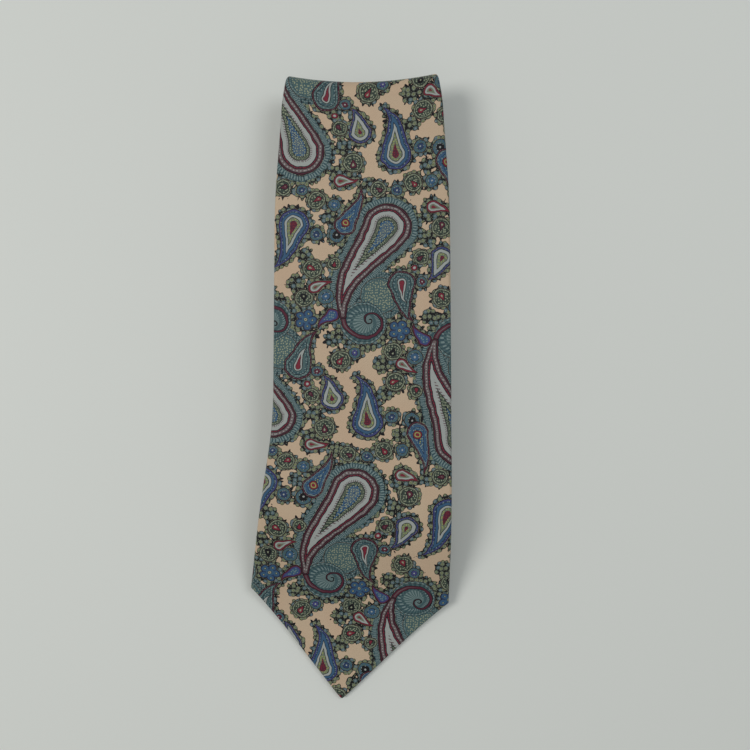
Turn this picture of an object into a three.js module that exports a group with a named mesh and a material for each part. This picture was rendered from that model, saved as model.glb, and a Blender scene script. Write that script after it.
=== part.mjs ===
// A three-piece silk necktie, folded in seven layers and laid face up, with its point draped to the table.
// Millimetres and degrees. +Z is up, +Y runs from the blade's point to the top fold, and the table is z = 0.
// The cloth follows one path from the blade's point (distance 0) to the tail's point.
import * as THREE from "three";

// Outline of the tie
const BLADE_REACH = 268; // the blade's point to the top fold, seen from above
const BLADE_WIDTH = 87.6; // across the blade's shoulders
const BLADE_POINT_ANGLE = 82;
const WAIST_WIDTH = 75.5; // the blade above its flare
const WAIST_START = 128; // distances along the cloth from the blade's point
const WAIST_END = 222;
const FOLD_WIDTH = 68; // at the top fold
const NECK_WIDTH = 36; // from the end of layer 4 to the start of layer 6
const TAIL_WIDTH = 44;
const TAIL_POINT_ANGLE = 84;
const TIP_WIDTH = 5; // the blunt end of each point
const FIRST_SEAM = 77; // blade silk to neck silk, into layer 4
const SECOND_SEAM = 119; // neck silk to tail silk, into layer 5
const SEAM_SLANT = 1; // how far a diagonal seam runs along the tie for each unit across it

// Cloth
const SILK = 0.4;
const INTERLINING = 1.3;
const TIPPING = 0.3;
const THREAD = 0.6;
const CLEARANCE = 0.3; // between touching pieces
const HEM = 13; // the turned-in silk beside each point, measured across the tie
const BLADE_FLAPS_MEET = 112; // where the silk's back edges meet, from the blade's point
const TAIL_FLAPS_MEET = 66; // the same, from the tail's point
const BLADE_TIPPING = 104;
const TAIL_TIPPING = 60;

// Lay
const LAYERS = 7;
const LABEL_ROOM = 1.4; // extra height under the blade for the keeper loop and labels
const FOOT = 42; // the blade's point lies flat on the table this far
const DRAPE_ANGLE = 26;
const STEP_BACK = 4; // from the draped blade to each fold under it
const LEAN_ANGLE = 4.5; // the blade's lower part turns to -X
const LEAN_START = 100;
const LEAN_END = 140;
const FOLD_LIFT_ANGLE = 10; // the top fold is a loose roll: it rises a little, turns and sags
const FOLD_LIFT_RADIUS = 50;
const FOLD_SAG_ANGLE = 25;
const FOLD_SAG_RADIUS = 40;
const SECOND_FOLD_INSET = 23; // the upper hidden fold at +Y, in from the top fold
const THIRD_FOLD_INSET = 7;
const TAIL_INSET = 8;

// Pieces on the blade's back, by distance from the blade's point
const KEEPER_AT = 178;
const KEEPER_LENGTH = 52;
const KEEPER_WIDTH = 12;
const KEEPER_FOOT = 6;
const KEEPER_ROOM = 0.6; // slack under the loop when it lies flat
const BAND = 0.3; // thickness of the loop and of both labels
const LABEL_AT = 212;
const LABEL_SIZE = [46, 24];
const CARE_LABEL_AT = 152;
const CARE_LABEL_SIZE = [20, 15];
const TACK_GAP = 3; // the bar tack sits where the back edges are this far from the middle
const TACK_LENGTH = 1.2;
const SPARE_LOOP_RADIUS = 2.6;

const THICKNESS = 2 * SILK + 2 * CLEARANCE + INTERLINING;
const HALF = THICKNESS / 2;
const PITCH = THICKNESS + CLEARANCE;
const SEAM_HALF_GAP = THREAD / 2 + CLEARANCE;
const ROLL_STEPS = 4; // facets of each rolled edge
const FOLD_STEPS = 8;
const LEAN_STEPS = 5;
const SHORT_STEP = 2; // a straight stretch takes no ring nearer its ends than this

const radians = THREE.MathUtils.degToRad;
const DRAPE = radians(DRAPE_ANGLE);
const LEAN = radians(LEAN_ANGLE);

// ---------------------------------------------------------------- the path

const layerHeight = (layer) =>
  HALF + (LAYERS - layer) * PITCH + (layer === 1 ? LABEL_ROOM : 0);

// Straight stretches and arcs, end to end in the YZ plane. A heading of 0 runs along +Y.
class Path {
  constructor(y, z) {
    Object.assign(this, { y, z, heading: 0, length: 0, stretches: [] });
  }

  add(name, length, turn = 0) {
    const stretch = {
      name,
      start: this.length,
      end: this.length + length,
      y: this.y,
      z: this.z,
      heading: this.heading,
      bend: turn / length,
    };
    this.stretches.push(stretch);
    const end = Path.point(stretch, stretch.end);
    Object.assign(this, { y: end.y, z: end.z, heading: end.heading, length: stretch.end });
    return this;
  }

  arc(name, radius, degrees) {
    return this.add(name, radius * Math.abs(radians(degrees)), radians(degrees));
  }

  kink(angle) {
    this.heading += angle;
    return this;
  }

  static point({ start, y, z, heading, bend }, s) {
    const run = s - start;
    const turned = heading + bend * run;
    if (!bend) {
      return { y: y + run * Math.cos(heading), z: z + run * Math.sin(heading), heading };
    }
    return {
      y: y + (Math.sin(turned) - Math.sin(heading)) / bend,
      z: z - (Math.cos(turned) - Math.cos(heading)) / bend,
      heading: turned,
    };
  }

  span(name) {
    const found = this.stretches.filter((stretch) => stretch.name === name);
    return { start: found[0].start, end: found[found.length - 1].end };
  }
}

// The +Y or -Y end of fold n, between layers n and n + 1, as a distance from the blade's point seen from above.
function foldReach(n) {
  if (n % 2 === 0) {
    const top = layerHeight(n) + HALF + CLEARANCE;
    return FOOT + (top + HALF / Math.cos(DRAPE) - HALF) / Math.tan(DRAPE) + STEP_BACK;
  }
  return BLADE_REACH - { 3: SECOND_FOLD_INSET, 5: THIRD_FOLD_INSET }[n];
}

function layTie() {
  const lift = radians(FOLD_LIFT_ANGLE);
  const sag = radians(FOLD_SAG_ANGLE);
  const rise = FOLD_LIFT_RADIUS * (1 - Math.cos(lift));
  const fall = FOLD_SAG_RADIUS * (1 - Math.cos(sag));
  const drop = layerHeight(1) - layerHeight(2);
  const roll = (drop + rise + fall) / (Math.cos(lift) + Math.cos(sag));
  const rollStart =
    BLADE_REACH - HALF - roll * (1 + Math.sin(lift)) - FOLD_LIFT_RADIUS * Math.sin(lift);
  const climb = layerHeight(1) - HALF;
  const rampRun = climb / Math.tan(DRAPE);
  const origin = -BLADE_REACH / 2;

  const path = new Path(origin, HALF);
  path.add("blade_point", FOOT).kink(DRAPE);
  path.add("blade_drape", climb / Math.sin(DRAPE)).kink(-DRAPE);
  path.add("layer_1", rollStart - FOOT - rampRun);
  path.arc("fold_1", FOLD_LIFT_RADIUS, FOLD_LIFT_ANGLE);
  path.arc("fold_1", roll, -(180 + FOLD_LIFT_ANGLE + FOLD_SAG_ANGLE));
  path.arc("fold_1", FOLD_SAG_RADIUS, FOLD_SAG_ANGLE);
  for (let layer = 2; layer <= LAYERS; layer += 1) {
    const goesBack = layer % 2 === 0; // towards the blade's point
    const end = origin + (layer === LAYERS ? BLADE_REACH - TAIL_INSET : foldReach(layer));
    const turnRoom = layer === LAYERS ? 0 : PITCH / 2 + HALF;
    path.add(`layer_${layer}`, Math.abs(end - path.y) - turnRoom);
    if (layer < LAYERS) path.arc(`fold_${layer}`, PITCH / 2, goesBack ? 180 : -180);
  }
  return path;
}

const path = layTie();
const TIE_LENGTH = path.length;
const LAST_BLADE = path.span("layer_1").end;
// How much longer the draped cloth is than it looks from above.
const DRAPE_SLACK = (layerHeight(1) - HALF) * (1 / Math.sin(DRAPE) - 1 / Math.tan(DRAPE));

// The lean of the blade's lower part, seen from above, at a height y on the path.
function lean(y) {
  const along = y + BLADE_REACH / 2;
  const span = LEAN_END - LEAN_START;
  const into = THREE.MathUtils.clamp(LEAN_END - along, 0, span);
  const turn = (LEAN * into) / span;
  const past = Math.max(0, LEAN_START - along);
  return {
    turn,
    x: -(LEAN * into * into) / (2 * span) - past * Math.sin(LEAN),
    y: y + past * (1 - Math.cos(LEAN)),
  };
}

// The cloth's frame at distance s: a point, and the directions across, along and out of the front.
function frameAt(stretch, s) {
  const { y, z, heading } = Path.point(stretch, s);
  const side = s <= LAST_BLADE + 1e-6 ? lean(y) : { turn: 0, x: 0, y };
  const flat = new THREE.Vector3(Math.sin(side.turn), Math.cos(side.turn), 0);
  const up = new THREE.Vector3(0, 0, 1);
  return {
    at: new THREE.Vector3(side.x, side.y, z),
    across: new THREE.Vector3(Math.cos(side.turn), -Math.sin(side.turn), 0),
    along: flat.clone().multiplyScalar(Math.cos(heading)).addScaledVector(up, Math.sin(heading)),
    front: flat.clone().multiplyScalar(-Math.sin(heading)).addScaledVector(up, Math.cos(heading)),
  };
}

// ---------------------------------------------------------------- the outline

const pointLength = (width, angle) => (width - TIP_WIDTH) / 2 / Math.tan(radians(angle) / 2);
const SHOULDER = pointLength(BLADE_WIDTH, BLADE_POINT_ANGLE);
const TAIL_SHOULDER = TIE_LENGTH - pointLength(TAIL_WIDTH, TAIL_POINT_ANGLE);
const WIDTHS = [
  [0, TIP_WIDTH],
  [SHOULDER, BLADE_WIDTH],
  [WAIST_START, WAIST_WIDTH],
  [WAIST_END, WAIST_WIDTH - 1.5],
  [LAST_BLADE, FOLD_WIDTH],
  [path.span("layer_4").end, NECK_WIDTH],
  [path.span("layer_6").start, NECK_WIDTH],
  [TAIL_SHOULDER, TAIL_WIDTH],
  [TIE_LENGTH, TIP_WIDTH],
];

function interpolate(stations, s) {
  const next = stations.findIndex(([at]) => at >= s - 1e-9);
  if (next <= 0) return stations[0][1];
  const [from, low] = stations[next - 1];
  const [to, high] = stations[next];
  return low + ((high - low) * (s - from)) / (to - from);
}

const halfWidth = (s) => interpolate(WIDTHS, s) / 2;

// Half the opening between the silk's two back edges. It widens from where they meet to each shoulder.
function backOpening(s) {
  const inBlade = s < TIE_LENGTH / 2;
  const fromPoint = inBlade ? s : TIE_LENGTH - s;
  const shoulder = inBlade ? SHOULDER : TIE_LENGTH - TAIL_SHOULDER;
  const meet = inBlade ? BLADE_FLAPS_MEET : TAIL_FLAPS_MEET;
  const widest = (inBlade ? BLADE_WIDTH : TAIL_WIDTH) / 2 - HEM;
  const parting = THREE.MathUtils.clamp((meet - fromPoint) / (meet - shoulder), 0, 1);
  const flap = halfWidth(s) - HALF;
  const opening =
    parting < 1 ? THREE.MathUtils.lerp(SEAM_HALF_GAP, widest, parting) : halfWidth(s) - HEM;
  return THREE.MathUtils.clamp(opening, Math.min(SEAM_HALF_GAP, flap / 2), flap);
}

// ---------------------------------------------------------------- solids

// A closed solid through rings of points. Each ring has a flat anticlockwise outline for its cap.
function loft(rings) {
  const size = rings[0].points.length;
  const positions = rings.flatMap(({ points }) => points.flatMap((p) => p.toArray()));
  const index = [];
  rings.slice(1).forEach((_, ring) => {
    for (let i = 0; i < size; i += 1) {
      const a = ring * size + i;
      const b = ring * size + ((i + 1) % size);
      index.push(a, b, b + size, a, b + size, a + size);
    }
  });
  const cap = (ring) => THREE.ShapeUtils.triangulateShape(rings[ring].outline, []);
  cap(0).forEach(([a, b, c]) => index.push(a, c, b));
  const last = (rings.length - 1) * size;
  cap(rings.length - 1).forEach(([a, b, c]) => index.push(last + a, last + b, last + c));
  const geometry = new THREE.BufferGeometry();
  geometry.setAttribute("position", new THREE.Float32BufferAttribute(positions, 3));
  geometry.setIndex(signedVolume(positions, index) < 0 ? index.reverse() : index);
  geometry.computeVertexNormals();
  return geometry;
}

function signedVolume(positions, index) {
  const corner = (i) => new THREE.Vector3().fromArray(positions, 3 * index[i]);
  let volume = 0;
  for (let i = 0; i < index.length; i += 3) {
    volume += corner(i).dot(corner(i + 1).cross(corner(i + 2))) / 6;
  }
  return volume;
}

// The silk envelope's outline: a flat tube with rolled edges, open along the back.
function envelopeOutline(s) {
  const flat = halfWidth(s) - HALF;
  const opening = backOpening(s);
  const roll = (radius, side) =>
    Array.from({ length: ROLL_STEPS + 1 }, (_, i) => {
      const angle = Math.PI / 2 - (Math.PI * i) / ROLL_STEPS;
      return new THREE.Vector2(side * (flat + radius * Math.cos(angle)), radius * Math.sin(angle));
    });
  const inner = HALF - SILK;
  return [
    ...roll(HALF, -1),
    new THREE.Vector2(-opening, -HALF),
    new THREE.Vector2(-opening, -inner),
    ...roll(inner, -1).reverse(),
    ...roll(inner, 1),
    new THREE.Vector2(opening, -inner),
    new THREE.Vector2(opening, -HALF),
    ...roll(HALF, 1).reverse(),
  ];
}

// A slab's outline, between two depths, with its edges a clearance inside the rolled silk.
const slabOutline = (low, high, half) => [
  new THREE.Vector2(-half, low),
  new THREE.Vector2(half, low),
  new THREE.Vector2(half, high),
  new THREE.Vector2(-half, high),
];

const insideHalf = (s) => Math.max(halfWidth(s) - HALF - CLEARANCE, TIP_WIDTH / 8);

// The kink between two straight stretches is mitred, so that both ends lie in one plane.
function mitre(stretch, s) {
  const other = path.stretches.find(
    (o) => o !== stretch && (Math.abs(o.start - s) < 1e-6 || Math.abs(o.end - s) < 1e-6),
  );
  const here = frameAt(stretch, s);
  if (!other || stretch.bend || other.bend) return here.front;
  const there = frameAt(other, s);
  const cosine = here.front.dot(there.front);
  return here.front.clone().add(there.front).divideScalar(1 + cosine);
}

// Rings of an outline along part of the path, with a clearance kept at each cut end.
function ringsAlong(stretch, from, to, outline, { inset = CLEARANCE / 2, skew = [0, 0] } = {}) {
  const turned = Math.abs(stretch.bend) * (to - from);
  const steps = turned ? Math.max(2, Math.round((FOLD_STEPS * turned) / Math.PI)) : 1;
  const breaks = [...WIDTHS.map(([at]) => at), BLADE_FLAPS_MEET, TIE_LENGTH - TAIL_FLAPS_MEET];
  for (let i = 1; i < steps; i += 1) breaks.push(from + ((to - from) * i) / steps);
  for (let i = 0; i <= LEAN_STEPS; i += 1) {
    breaks.push(LEAN_START + DRAPE_SLACK + ((LEAN_END - LEAN_START) * i) / LEAN_STEPS);
  }
  const inArc = turned ? 0 : SHORT_STEP;
  const marks = breaks.filter((s) => s > from + inArc && s < to - inArc);
  const sorted = [from, ...marks, to].sort((a, b) => a - b);
  return sorted.map((s, i) => {
    const atEnd = i === 0 || i === sorted.length - 1;
    const offset = atEnd ? inset * (i === 0 ? 1 : -1) : 0;
    const slant = i === 0 ? skew[0] : i === sorted.length - 1 ? skew[1] : 0;
    const frame = frameAt(stretch, s + offset);
    const front = atEnd ? mitre(stretch, s) : frame.front;
    const flat = outline(s);
    const points = flat.map(({ x, y }) =>
      frame.at
        .clone()
        .addScaledVector(frame.across, x)
        .addScaledVector(front, y)
        .addScaledVector(frame.along, x * slant),
    );
    return { points, outline: flat };
  });
}

// ---------------------------------------------------------------- materials

const finish = (color, roughness) => () =>
  new THREE.MeshStandardMaterial({ color, roughness, metalness: 0 });
const FINISHES = {
  silk: finish(0x6f7a78, 0.55),
  interlining: finish(0xe6e0d2, 0.95),
  tipping: finish(0x55636f, 0.5),
  thread: finish(0x8c7f6a, 0.8),
  label: finish(0xe9e2d0, 0.7),
};

const tie = new THREE.Group();

function addPiece(name, finishName, geometry) {
  const mesh = new THREE.Mesh(geometry, FINISHES[finishName]());
  mesh.name = name;
  tie.add(mesh);
}

// ---------------------------------------------------------------- cloth along the path

const CUTS = [
  { name: "blade", end: path.span("layer_4").start + FIRST_SEAM },
  { name: "neck", end: path.span("layer_5").start + SECOND_SEAM },
  { name: "tail", end: TIE_LENGTH },
];

// Each stretch name with the range of path that it covers, its arcs taken together.
const spans = [...new Set(path.stretches.map(({ name }) => name))].map((name) => ({
  name,
  parts: path.stretches.filter((stretch) => stretch.name === name),
}));

// Rings through all the arcs of one span, the shared ones taken once.
function spanRings(parts, from, to, outline, skew) {
  return parts.flatMap((stretch, i) => {
    const start = Math.max(stretch.start, from);
    const end = Math.min(stretch.end, to);
    const rings = ringsAlong(stretch, start, end, outline, { inset: 0, skew });
    return i ? rings.slice(1) : rings;
  });
}

function clothAlong(parts, from, to, outline, skew = [0, 0]) {
  if (parts.length > 1) {
    const trimmed = [from + CLEARANCE / 2, to - CLEARANCE / 2];
    return loft(spanRings(parts, ...trimmed, outline, skew));
  }
  return loft(ringsAlong(parts[0], from, to, outline, { skew }));
}

function makeSilk() {
  for (const { name, parts } of spans) {
    const start = parts[0].start;
    const end = parts[parts.length - 1].end;
    let from = start;
    for (const cut of CUTS) {
      const to = Math.min(cut.end, end);
      if (to <= from) continue;
      const slant = (s) => (s > start && s < end ? SEAM_SLANT : 0);
      const label = name.startsWith("blade") ? name.replace("blade_", "") : name;
      const skew = [slant(from), slant(to)];
      addPiece(`${cut.name}_silk_${label}`, "silk", clothAlong(parts, from, to, envelopeOutline, skew));
      from = to;
    }
  }
}

// The interlining is thinner where a tipping lies on it.
function makeInterlining() {
  const thin = (s) => s < BLADE_TIPPING || s > TIE_LENGTH - TAIL_TIPPING;
  const outline = (middle) => (s) => {
    const top = HALF - SILK - CLEARANCE;
    const depth = thin(middle) ? INTERLINING - TIPPING - CLEARANCE : INTERLINING;
    return slabOutline(top - depth, top, insideHalf(s));
  };
  for (const { name, parts } of spans) {
    const start = parts[0].start;
    const end = parts[parts.length - 1].end;
    const label = name.replace("blade_", "");
    const steps = [start, BLADE_TIPPING, TIE_LENGTH - TAIL_TIPPING, end].filter(
      (s) => s >= start && s <= end,
    );
    steps.slice(1).forEach((to, i) => {
      const from = steps[i];
      const suffix = i ? "_end" : "";
      const geometry = clothAlong(parts, from, to, outline((from + to) / 2));
      addPiece(`interlining_${label}${suffix}`, "interlining", geometry);
    });
  }
}

// The tippings line the back of both points, between the silk's turned-in edges and the interlining.
function makeTippings() {
  const low = SILK - HALF + CLEARANCE;
  const outline = (s) => slabOutline(low, low + TIPPING, insideHalf(s));
  for (const { name, parts } of spans) {
    const { start, end } = parts[0];
    const label = name.replace("blade_", "");
    if (start < BLADE_TIPPING) {
      const to = Math.min(end, BLADE_TIPPING - CLEARANCE);
      addPiece(`blade_tipping_${label}`, "tipping", clothAlong(parts, start, to, outline));
    }
    if (end > TIE_LENGTH - TAIL_TIPPING) {
      const from = Math.max(start, TIE_LENGTH - TAIL_TIPPING + CLEARANCE);
      addPiece("tail_tipping", "tipping", clothAlong(parts, from, end, outline));
    }
  }
}

// ---------------------------------------------------------------- sewing and labels

// A slip stitch closes the back of each straight stretch.
function makeStitches() {
  const outline = () => slabOutline(-HALF, SILK - HALF, THREAD / 2);
  for (const { name, parts } of spans) {
    if (!name.startsWith("layer")) continue;
    const from = Math.max(parts[0].start, BLADE_FLAPS_MEET);
    const to = Math.min(parts[0].end, TIE_LENGTH - TAIL_FLAPS_MEET);
    addPiece(`slip_stitch_${name}`, "thread", clothAlong(parts, from, to, outline));
  }
}

const stretchAt = (s) => path.stretches.find(({ start, end }) => s >= start && s <= end);

// A flat piece centred at distance s, low and high being depths from the middle of the cloth.
function flatPiece(s, length, low, high, half) {
  const outline = () => slabOutline(low, high, half);
  return loft(ringsAlong(stretchAt(s), s - length / 2, s + length / 2, outline, { inset: 0 }));
}

// Bar tacks hold the back edges where they begin to part.
function makeBarTacks() {
  const outward = (meet, shoulder, widest) =>
    meet - ((TACK_GAP - SEAM_HALF_GAP) / (widest - SEAM_HALF_GAP)) * (meet - shoulder);
  const bladeTack = outward(BLADE_FLAPS_MEET, SHOULDER, BLADE_WIDTH / 2 - HEM);
  const tailTack =
    TIE_LENGTH -
    outward(TAIL_FLAPS_MEET, TIE_LENGTH - TAIL_SHOULDER, TAIL_WIDTH / 2 - HEM);
  for (const [name, s] of [["blade_bar_tack", bladeTack], ["tail_bar_tack", tailTack]]) {
    const half = Math.min(backOpening(s - TACK_LENGTH / 2), backOpening(s + TACK_LENGTH / 2));
    addPiece(name, "thread", flatPiece(s, TACK_LENGTH, -HALF, SILK - HALF, half - CLEARANCE));
  }
  return bladeTack;
}

// The spare loop of thread that lets the slip stitch slide lies between the back edges.
function makeSpareLoop(tack) {
  const s = tack - TACK_LENGTH - SPARE_LOOP_RADIUS - THREAD;
  const frame = frameAt(stretchAt(s), s);
  const profile = [
    [SPARE_LOOP_RADIUS - THREAD / 2, -SILK / 2],
    [SPARE_LOOP_RADIUS + THREAD / 2, -SILK / 2],
    [SPARE_LOOP_RADIUS + THREAD / 2, SILK / 2],
    [SPARE_LOOP_RADIUS - THREAD / 2, SILK / 2],
    [SPARE_LOOP_RADIUS - THREAD / 2, -SILK / 2],
  ].map(([x, y]) => new THREE.Vector2(x, y));
  const ring = new THREE.LatheGeometry(profile, 16);
  const lie = new THREE.Matrix4().makeBasis(frame.across, frame.front, frame.along.clone().negate());
  ring.applyMatrix4(lie);
  addPiece("spare_thread_loop", "thread", ring);
  const mesh = tie.children[tie.children.length - 1];
  mesh.position.copy(frame.at).addScaledVector(frame.front, SILK / 2 - HALF);
}

// The keeper loop that holds the tail: a band sewn down at both ends.
function makeKeeper() {
  const { at, across, along, front } = frameAt(stretchAt(KEEPER_AT), KEEPER_AT);
  const half = KEEPER_LENGTH / 2;
  const inner = half - KEEPER_FOOT;
  const top = -HALF - CLEARANCE;
  const under = top - KEEPER_ROOM;
  const shape = new THREE.Shape(
    [
      [-half, top],
      [-half, top - BAND],
      [-inner, under - BAND],
      [inner, under - BAND],
      [half, top - BAND],
      [half, top],
      [inner + KEEPER_FOOT / 2, top],
      [inner - 1, under],
      [1 - inner, under],
      [-inner - KEEPER_FOOT / 2, top],
    ].map(([x, y]) => new THREE.Vector2(x, y)),
  );
  const band = new THREE.ExtrudeGeometry(shape, { depth: KEEPER_WIDTH, bevelEnabled: false });
  band.translate(0, 0, -KEEPER_WIDTH / 2);
  band.applyMatrix4(new THREE.Matrix4().makeBasis(across, front, along.clone().negate()));
  addPiece("keeper_loop", "silk", band);
  tie.children[tie.children.length - 1].position.copy(at);
}

function makeLabels() {
  const top = -HALF - CLEARANCE;
  const pieces = [
    ["blank_label", LABEL_AT, LABEL_SIZE],
    ["blank_care_label", CARE_LABEL_AT, CARE_LABEL_SIZE],
  ];
  for (const [name, s, [width, length]] of pieces) {
    addPiece(name, "label", flatPiece(s, length, top - BAND, top, width / 2));
  }
}

makeSilk();
makeInterlining();
makeTippings();
makeStitches();
makeSpareLoop(makeBarTacks());
makeKeeper();
makeLabels();

// The shoulders lean off the middle line, so the tie moves back over its origin.
const outer = new THREE.Box3().setFromObject(tie);
tie.position.set(-(outer.min.x + outer.max.x) / 2, -(outer.min.y + outer.max.y) / 2, -outer.min.z);

export default tie;
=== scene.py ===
"""A three-piece silk necktie, folded in seven layers and laid face up, built round its CAD frame."""
import math

import bpy
from bpy.props import FloatProperty, FloatVectorProperty, IntProperty, PointerProperty
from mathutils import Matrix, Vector, noise


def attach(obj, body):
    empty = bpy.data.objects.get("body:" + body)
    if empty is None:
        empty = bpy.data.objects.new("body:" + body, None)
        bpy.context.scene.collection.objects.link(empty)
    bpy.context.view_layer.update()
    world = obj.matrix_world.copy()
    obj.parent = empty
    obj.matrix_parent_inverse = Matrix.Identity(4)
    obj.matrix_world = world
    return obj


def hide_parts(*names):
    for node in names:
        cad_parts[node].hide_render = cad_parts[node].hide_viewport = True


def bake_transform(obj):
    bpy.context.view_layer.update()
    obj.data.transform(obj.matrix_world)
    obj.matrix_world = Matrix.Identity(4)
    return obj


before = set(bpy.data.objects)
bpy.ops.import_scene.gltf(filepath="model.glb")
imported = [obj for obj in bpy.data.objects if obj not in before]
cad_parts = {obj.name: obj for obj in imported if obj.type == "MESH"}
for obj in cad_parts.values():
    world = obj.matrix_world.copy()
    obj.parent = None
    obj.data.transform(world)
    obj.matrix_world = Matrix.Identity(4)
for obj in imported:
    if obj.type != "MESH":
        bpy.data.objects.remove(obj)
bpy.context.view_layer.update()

bl_info = {
    "name": "Necktie Maker",
    "version": (1, 0, 0),
    "blender": (4, 5, 0),
    "location": "View3D > Sidebar > Necktie",
    "description": "Builds the silk, lining, sewing and labels of a folded necktie",
    "category": "Object",
}

MM = 0.001
PLAIN = (0, 0)

# Outline of the tie, in millimetres. Distances run along the cloth from the blade's point.
LENGTH = 1385.39
SHOULDER = 47.5
TAIL_SHOULDER = 1363.7
BLADE_WIDTH = 87.6
TAIL_WIDTH = 44.0
LAST_BLADE = 256.92
WIDTHS = (
    (0, 1.4),
    (SHOULDER, BLADE_WIDTH),
    (128, 75.5),
    (222, 74.0),
    (LAST_BLADE, 68.0),
    (791.64, 36.0),
    (985.45, 36.0),
    (TAIL_SHOULDER, TAIL_WIDTH),
    (LENGTH, 1.4),
)
HEM = 13.0
FLAPS_MEET = 112.0
TAIL_FLAPS_MEET = 66.0
BLADE_TIPPING = 103.7
TAIL_TIPPING = 1325.69
FIRST_SEAM = 700.22
SECOND_SEAM = 915.35
SEAM_SLANT = 1.0

# Cloth. HALF is half the thickness of the whole tie.
SILK = 0.4
HALF = 1.35
SEAM_GAP = 0.15
LINING_DEPTH = (-0.65, 0.65)
LINING_DEPTH_THIN = (-0.05, 0.65)
TIPPING_DEPTH = (-0.65, -0.35)
ROLL_STEPS = 8
FLAT_STEPS = 26
FLAP_STEPS = 10

# Place of the middle line seen from above
SIDE_SHIFT = 5.7329
LONG_SHIFT = -134.105
LEAN = math.radians(4.5)
LEAN_START = 100.0
LEAN_END = 140.0

# From, to, plan distance, height, heading and turn at the start, and true length of each stretch.
LAID = (
    ("point", 0, 28.15, 0, 1.35, 0, 0, 28.15),
    ("point", 28.15, 55.85, 28.15, 1.35, 0, 26, 27.23),
    ("point", 55.85, 64.1, 54.45, 7.42, 26, 0, 8.25),
    ("front", 64.1, 72.4, 61.87, 11.04, 26, 0, 8.30),
    ("front", 72.4, 100.1, 69.33, 14.68, 26, -26, 27.23),
    ("front", 100.1, 256.92, 95.63, 20.75, 0, 0, 156.81),
    ("fold_1", 256.92, 265.65, 252.44, 20.75, 0, 10, 8.73),
    ("fold_1", 265.65, 283.32, 261.12, 21.51, 10, -215, 17.67),
    ("fold_1", 283.32, 300.77, 259.95, 12.60, -205, 25, 17.45),
    ("layer_2", 300.77, 457.75, 243.04, 16.35, -180, 0, 156.98),
    ("fold_2", 457.75, 462.46, 86.07, 16.35, -180, 180, 4.71),
    ("layer_3", 462.46, 618.55, 86.07, 13.35, 0, 0, 156.09),
    ("fold_3", 618.55, 623.26, 242.15, 13.35, 0, -180, 4.71),
    ("layer_4", 623.26, 791.64, 242.15, 10.35, -180, 0, 168.38),
    ("fold_4", 791.64, 796.35, 73.77, 10.35, -180, 180, 4.71),
    ("layer_5", 796.35, 980.74, 73.77, 7.35, 0, 0, 184.39),
    ("fold_5", 980.74, 985.45, 258.15, 7.35, 0, -180, 4.71),
    ("layer_6", 985.45, 1182.14, 258.15, 4.35, -180, 0, 196.69),
    ("fold_6", 1182.14, 1186.85, 61.46, 4.35, -180, 180, 4.71),
    ("layer_7", 1186.85, 1385.39, 61.46, 1.35, 0, 0, 198.54),
)
# A tight fold's piece takes in this much of the flat layers beside it.
FOLD_MARGIN = 4.0


def share_out(laid):
    """The stretches of the path, each tight fold with a short flat run on either side."""
    shared = []
    for index, (name, start, end, along, height, heading, turn, length) in enumerate(laid):
        if not name.startswith("layer"):
            shared.append((name, start, end, along, height, heading, turn, length))
            continue
        cuts = [(name, start, end)]
        if name != "layer_2":
            fold = laid[index - 1][0]
            cuts = [(fold, start, start + FOLD_MARGIN), (name, start + FOLD_MARGIN, end)]
        if name != "layer_7":
            fold = laid[index + 1][0]
            cuts[-1] = (name, cuts[-1][1], end - FOLD_MARGIN)
            cuts.append((fold, end - FOLD_MARGIN, end))
        forward = math.cos(math.radians(heading))
        for part, low, high in cuts:
            shared.append((part, low, high, along + forward * (low - start), height, heading, 0, high - low))
    return shared


STRETCHES = share_out(LAID)


def limits(name):
    """Where a stretch starts and ends along the cloth."""
    parts = [part for part in STRETCHES if part[0] == name]
    return parts[0][1], parts[-1][2]


# The top fold: the cloth draws in over it, and its outermost line rises to one side, with a saddle
# between two horns. It takes that shape from FOLD_EASE_START on and loses it by its end.
PINCH = 3.4
PINCH_START = 256.9
PINCH_AT = 275
PINCH_END = 300.8
PINCH_REACH = 18
FOLD_EASE_START = 215
FOLD_EASE_IN = 45
FOLD_END = 300.77
FOLD_EASE_OUT = 18
FOLD_RISE = 0.016
FOLD_SADDLE = 0.0031
FOLD_MIDDLE = 0.8

# Where the print sits at each distance along the cloth: a little closer up over the drape
PRINT_AT = (
    (0, 4.47), (28.15, 32.62), (55.85, 58.92), (64.1, 66.34), (72.4, 73.8), (100.1, 100.1), (LENGTH, LENGTH),
)

# The silk's front: a soft crown and long shallow waves, which fade out by SWELL_END
SWELL_END = 262
SWELL_FADE_IN = 30
SWELL_FADE_OUT = 12
CROWN = 0.75
WAVES = 0.55

# Which body each layer stretch follows, and the heights of the fold zones, in millimetres
RIDES = {f"layer_{n}": f"layer_{n}" for n in range(2, 7)}
RIDES["layer_7"] = "tail_layer"
FOLD_ZONES = {
    "fold_1": (17.75, 19.35),
    "fold_2": (14.7, 15.0),
    "fold_3": (11.7, 12.0),
    "fold_4": (8.7, 9.0),
    "fold_5": (5.7, 6.0),
    "fold_6": (2.7, 3.0),
}


# ---------------------------------------------------------------- the cloth's path

def interpolate(stations, s):
    """The value at s between two stations."""
    for (low_s, low), (high_s, high) in zip(stations, stations[1:]):
        if s <= high_s:
            return low + (high - low) * (s - low_s) / (high_s - low_s)
    return stations[-1][1]


def smoothstep(value):
    value = min(max(value, 0.0), 1.0)
    return value * value * (3 - 2 * value)


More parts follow.
